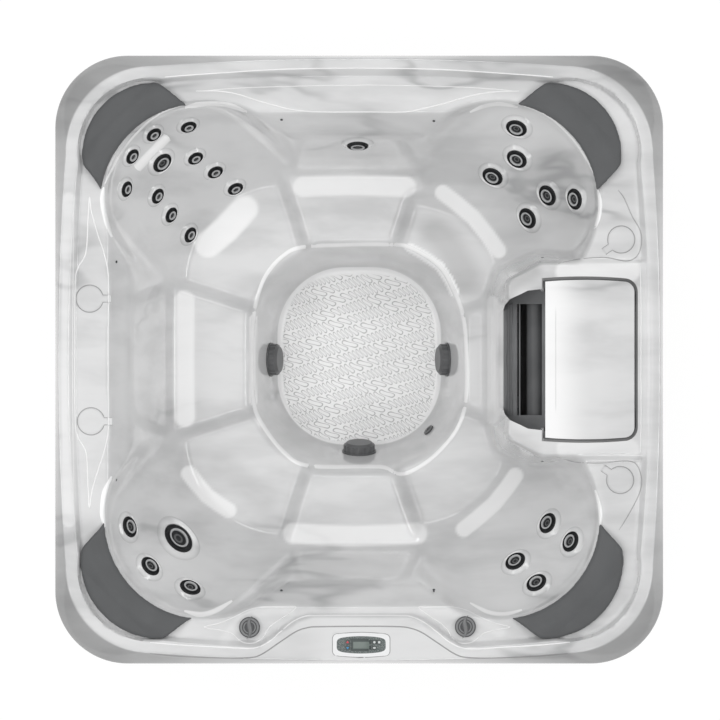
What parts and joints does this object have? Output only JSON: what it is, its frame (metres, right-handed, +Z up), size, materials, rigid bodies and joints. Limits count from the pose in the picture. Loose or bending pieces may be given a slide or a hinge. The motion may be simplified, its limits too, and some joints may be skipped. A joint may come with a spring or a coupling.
{
  "type": "hot tub",
  "caption": "Square acrylic hot tub with moulded corner seats, head rests, turning jets, a filter bay and a cabinet.",
  "frame": {"origin": "on the floor under the middle of the tub", "axes": "+Z up, -Y to the front with the control panel, +X to the filter bay"},
  "size_m": [2.13, 2.13, 0.91],
  "materials": {
    "acrylic": "gloss",
    "fitting_plastic": "satin",
    "lens": "gloss",
    "dark_plastic": "satin",
    "filter_fabric": "matte",
    "panel_plastic": "satin",
    "display_glass": "gloss",
    "cabinet_board": "satin",
    "cabinet_post": "satin",
    "screw_steel": "satin",
    "base_plastic": "matte",
    "frame_steel": "satin",
    "pump_plastic": "satin",
    "rotor_steel": "satin",
    "heater_steel": "satin",
    "head_rest_foam": "satin",
    "jet_plastic": "gloss",
    "key_plastic": "satin"
  },
  "bodies": {
    "tub": {"shell": "acrylic", "jet_bodies": "fitting_plastic", "light_lenses": "lens", "suction_covers": "dark_plastic", "floor_drain": "dark_plastic", "filter_housing": "dark_plastic", "filter_cartridges": "filter_fabric", "diverter_valves": "fitting_plastic", "control_panel": "panel_plastic", "display": "display_glass", "front_panel": "cabinet_board", "side_panels": "cabinet_board", "corner_posts": "cabinet_post", "panel_screws": "screw_steel", "base_pan": "base_plastic", "frame": "frame_steel", "pump_casing": "pump_plastic", "heater": "heater_steel", "control_box": "panel_plastic", "pipes": "fitting_plastic"},
    "filter_lid": {"filter_lid": "acrylic"},
    "weir": {"weir": "dark_plastic"},
    "pump_rotor": {"pump_rotor": "rotor_steel"},
    "pillow_back_left": {"pillow_back_left": "head_rest_foam"},
    "pillow_back_right": {"pillow_back_right": "head_rest_foam"},
    "pillow_front_left": {"pillow_front_left": "head_rest_foam"},
    "pillow_front_right": {"pillow_front_right": "head_rest_foam"},
    "knob_left": {"knob_left": "dark_plastic"},
    "knob_right": {"knob_right": "dark_plastic"},
    "key_up": {"key_up": "key_plastic"},
    "key_down": {"key_down": "key_plastic"},
    "key_jets": {"key_jets": "key_plastic"},
    "key_light": {"key_light": "key_plastic"},
    "key_mode": {"key_mode": "key_plastic"},
    "small_jet_01": {"small_jet_01": "jet_plastic"},
    "small_jet_02": {"small_jet_02": "jet_plastic"},
    "small_jet_03": {"small_jet_03": "jet_plastic"},
    "small_jet_04": {"small_jet_04": "jet_plastic"},
    "small_jet_05": {"small_jet_05": "jet_plastic"},
    "small_jet_06": {"small_jet_06": "jet_plastic"},
    "small_jet_07": {"small_jet_07": "jet_plastic"},
    "small_jet_08": {"small_jet_08": "jet_plastic"},
    "small_jet_09": {"small_jet_09": "jet_plastic"},
    "small_jet_10": {"small_jet_10": "jet_plastic"},
    "medium_jet_01": {"medium_jet_01": "jet_plastic"},
    "medium_jet_02": {"medium_jet_02": "jet_plastic"},
    "medium_jet_03": {"medium_jet_03": "jet_plastic"},
    "medium_jet_04": {"medium_jet_04": "jet_plastic"},
    "medium_jet_05": {"medium_jet_05": "jet_plastic"},
    "medium_jet_06": {"medium_jet_06": "jet_plastic"},
    "medium_jet_07": {"medium_jet_07": "jet_plastic"},
    "medium_jet_08": {"medium_jet_08": "jet_plastic"},
    "medium_jet_09": {"medium_jet_09": "jet_plastic"},
    "medium_jet_10": {"medium_jet_10": "jet_plastic"},
    "medium_jet_11": {"medium_jet_11": "jet_plastic"},
    "medium_jet_12": {"medium_jet_12": "jet_plastic"},
    "medium_jet_13": {"medium_jet_13": "jet_plastic"},
    "medium_jet_14": {"medium_jet_14": "jet_plastic"},
    "medium_jet_15": {"medium_jet_15": "jet_plastic"},
    "large_jet_01": {"large_jet_01": "jet_plastic"}
  },
  "joints": [
    {"name": "filter_lid_lift", "type": "slide", "parent": "tub", "child": "filter_lid", "axis": [0, 0, 1], "range_m": [0, 0.16]},
    {"name": "weir_swing", "type": "hinge", "parent": "tub", "child": "weir", "pos_m": [0.68502, 0, 0.75315], "axis": [0, 1, 0], "range_deg": [-25, 5]},
    {"name": "pump_rotor_spin", "type": "hinge", "parent": "tub", "child": "pump_rotor", "pos_m": [-0.06, -0.76041, 0.12], "axis": [1, 0, 0], "continuous": true},
    {"name": "pillow_back_left_pull", "type": "slide", "parent": "tub", "child": "pillow_back_left", "axis": [0, 0, 1], "range_m": [0, 0.06]},
    {"name": "pillow_back_right_pull", "type": "slide", "parent": "tub", "child": "pillow_back_right", "axis": [0, 0, 1], "range_m": [0, 0.06]},
    {"name": "pillow_front_left_pull", "type": "slide", "parent": "tub", "child": "pillow_front_left", "axis": [0, 0, 1], "range_m": [0, 0.06]},
    {"name": "pillow_front_right_pull", "type": "slide", "parent": "tub", "child": "pillow_front_right", "axis": [0, 0, 1], "range_m": [0, 0.06]},
    {"name": "knob_left_turn", "type": "hinge", "parent": "tub", "child": "knob_left", "pos_m": [-0.38425, -0.93784, 0.88], "axis": [0, 0, 1], "range_deg": [-90, 90]},
    {"name": "knob_right_turn", "type": "hinge", "parent": "tub", "child": "knob_right", "pos_m": [0.37168, -0.93571, 0.88], "axis": [0, 0, 1], "range_deg": [-90, 90]},
    {"name": "key_up_press", "type": "slide", "parent": "tub", "child": "key_up", "axis": [0, 0, -1], "range_m": [0, 0.001], "stiffness_N_per_m": 300},
    {"name": "key_down_press", "type": "slide", "parent": "tub", "child": "key_down", "axis": [0, 0, -1], "range_m": [0, 0.001], "stiffness_N_per_m": 300},
    {"name": "key_jets_press", "type": "slide", "parent": "tub", "child": "key_jets", "axis": [0, 0, -1], "range_m": [0, 0.001], "stiffness_N_per_m": 300},
    {"name": "key_light_press", "type": "slide", "parent": "tub", "child": "key_light", "axis": [0, 0, -1], "range_m": [0, 0.001], "stiffness_N_per_m": 300},
    {"name": "key_mode_press", "type": "slide", "parent": "tub", "child": "key_mode", "axis": [0, 0, -1], "range_m": [0, 0.001], "stiffness_N_per_m": 300},
    {"name": "small_jet_01_turn", "type": "hinge", "parent": "tub", "child": "small_jet_01", "pos_m": [-0.60036, 0.82135, 0.73766], "axis": [0.267, -0.7441, 0.6124], "range_deg": [-90, 90]},
    {"name": "small_jet_02_turn", "type": "hinge", "parent": "tub", "child": "small_jet_02", "pos_m": [-0.57786, 0.71175, 0.60282], "axis": [0.3911, -0.6626, 0.6388], "range_deg": [-90, 90]},
    {"name": "small_jet_03_turn", "type": "hinge", "parent": "tub", "child": "small_jet_03", "pos_m": [-0.50867, 0.6638, 0.51115], "axis": [0.3634, -0.6825, 0.6342], "range_deg": [-90, 90]},
    {"name": "small_jet_04_turn", "type": "hinge", "parent": "tub", "child": "small_jet_04", "pos_m": [-0.43839, 0.60628, 0.40912], "axis": [0.3469, -0.6939, 0.631], "range_deg": [-90, 90]},
    {"name": "small_jet_05_turn", "type": "hinge", "parent": "tub", "child": "small_jet_05", "pos_m": [-0.82132, 0.59935, 0.74803], "axis": [0.7754, -0.2253, 0.5899], "range_deg": [-90, 90]},
    {"name": "small_jet_06_turn", "type": "hinge", "parent": "tub", "child": "small_jet_06", "pos_m": [-0.71279, 0.57682, 0.60738], "axis": [0.685, -0.3674, 0.6291], "range_deg": [-90, 90]},
    {"name": "small_jet_07_turn", "type": "hinge", "parent": "tub", "child": "small_jet_07", "pos_m": [-0.66591, 0.51081, 0.51797], "axis": [0.6983, -0.3489, 0.625], "range_deg": [-90, 90]},
    {"name": "small_jet_08_turn", "type": "hinge", "parent": "tub", "child": "small_jet_08", "pos_m": [-0.59989, 0.44158, 0.40557], "axis": [0.6951, -0.3534, 0.626], "range_deg": [-90, 90]},
    {"name": "small_jet_09_turn", "type": "hinge", "parent": "tub", "child": "small_jet_09", "pos_m": [-0.72367, 0.79276, 0.78002], "axis": [0.4735, -0.5966, 0.648], "range_deg": [-90, 90]},
    {"name": "small_jet_10_turn", "type": "hinge", "parent": "tub", "child": "small_jet_10", "pos_m": [-0.80016, 0.71521, 0.78496], "axis": [0.6435, -0.4213, 0.6391], "range_deg": [-90, 90]},
    {"name": "medium_jet_01_turn", "type": "hinge", "parent": "tub", "child": "medium_jet_01", "pos_m": [-0.69544, 0.69443, 0.67405], "axis": [0.5504, -0.5248, 0.6493], "range_deg": [-90, 90]},
    {"name": "medium_jet_02_turn", "type": "hinge", "parent": "tub", "child": "medium_jet_02", "pos_m": [0.55332, 0.81661, 0.75184], "axis": [-0.2491, -0.6748, 0.6947], "range_deg": [-90, 90]},
    {"name": "medium_jet_03_turn", "type": "hinge", "parent": "tub", "child": "medium_jet_03", "pos_m": [0.55625, 0.70816, 0.65706], "axis": [-0.3844, -0.5798, 0.7184], "range_deg": [-90, 90]},
    {"name": "medium_jet_04_turn", "type": "hinge", "parent": "tub", "child": "medium_jet_04", "pos_m": [0.47112, 0.64741, 0.56313], "axis": [-0.3496, -0.6065, 0.7141], "range_deg": [-90, 90]},
    {"name": "medium_jet_05_turn", "type": "hinge", "parent": "tub", "child": "medium_jet_05", "pos_m": [0.66547, 0.57871, 0.65117], "axis": [-0.629, -0.3345, 0.7018], "range_deg": [-90, 90]},
    {"name": "medium_jet_06_turn", "type": "hinge", "parent": "tub", "child": "medium_jet_06", "pos_m": [0.7611, 0.56413, 0.74226], "axis": [-0.7416, -0.1666, 0.6499], "range_deg": [-90, 90]},
    {"name": "medium_jet_07_turn", "type": "hinge", "parent": "tub", "child": "medium_jet_07", "pos_m": [0.59624, 0.49884, 0.55107], "axis": [-0.6321, -0.3305, 0.7009], "range_deg": [-90, 90]},
    {"name": "medium_jet_08_turn", "type": "hinge", "parent": "tub", "child": "medium_jet_08", "pos_m": [-0.81109, -0.58851, 0.73185], "axis": [0.7752, 0.2256, 0.59], "range_deg": [-90, 90]},
    {"name": "medium_jet_09_turn", "type": "hinge", "parent": "tub", "child": "medium_jet_09", "pos_m": [-0.73696, -0.72853, 0.73688], "axis": [0.5606, 0.5144, 0.6489], "range_deg": [-90, 90]},
    {"name": "medium_jet_10_turn", "type": "hinge", "parent": "tub", "child": "medium_jet_10", "pos_m": [-0.59478, -0.80478, 0.71658], "axis": [0.2839, 0.7341, 0.6168], "range_deg": [-90, 90]},
    {"name": "medium_jet_11_turn", "type": "hinge", "parent": "tub", "child": "medium_jet_11", "pos_m": [0.66647, -0.57657, 0.63677], "axis": [-0.6609, 0.3375, 0.6703], "range_deg": [-90, 90]},
    {"name": "medium_jet_12_turn", "type": "hinge", "parent": "tub", "child": "medium_jet_12", "pos_m": [0.74631, -0.64053, 0.74807], "axis": [-0.6809, 0.3094, 0.6638], "range_deg": [-90, 90]},
    {"name": "medium_jet_13_turn", "type": "hinge", "parent": "tub", "child": "medium_jet_13", "pos_m": [0.5509, -0.71237, 0.64184], "axis": [-0.3981, 0.6099, 0.6852], "range_deg": [-90, 90]},
    {"name": "medium_jet_14_turn", "type": "hinge", "parent": "tub", "child": "medium_jet_14", "pos_m": [0.62438, -0.78692, 0.75089], "axis": [-0.3991, 0.6091, 0.6853], "range_deg": [-90, 90]},
    {"name": "medium_jet_15_turn", "type": "hinge", "parent": "tub", "child": "medium_jet_15", "pos_m": [-0.00532, 0.75647, 0.70659], "axis": [0, -0.9341, 0.357], "range_deg": [-90, 90]},
    {"name": "large_jet_01_turn", "type": "hinge", "parent": "tub", "child": "large_jet_01", "pos_m": [-0.64015, -0.63257, 0.56804], "axis": [0.5539, 0.5214, 0.6492], "range_deg": [-90, 90]}
  ]
}
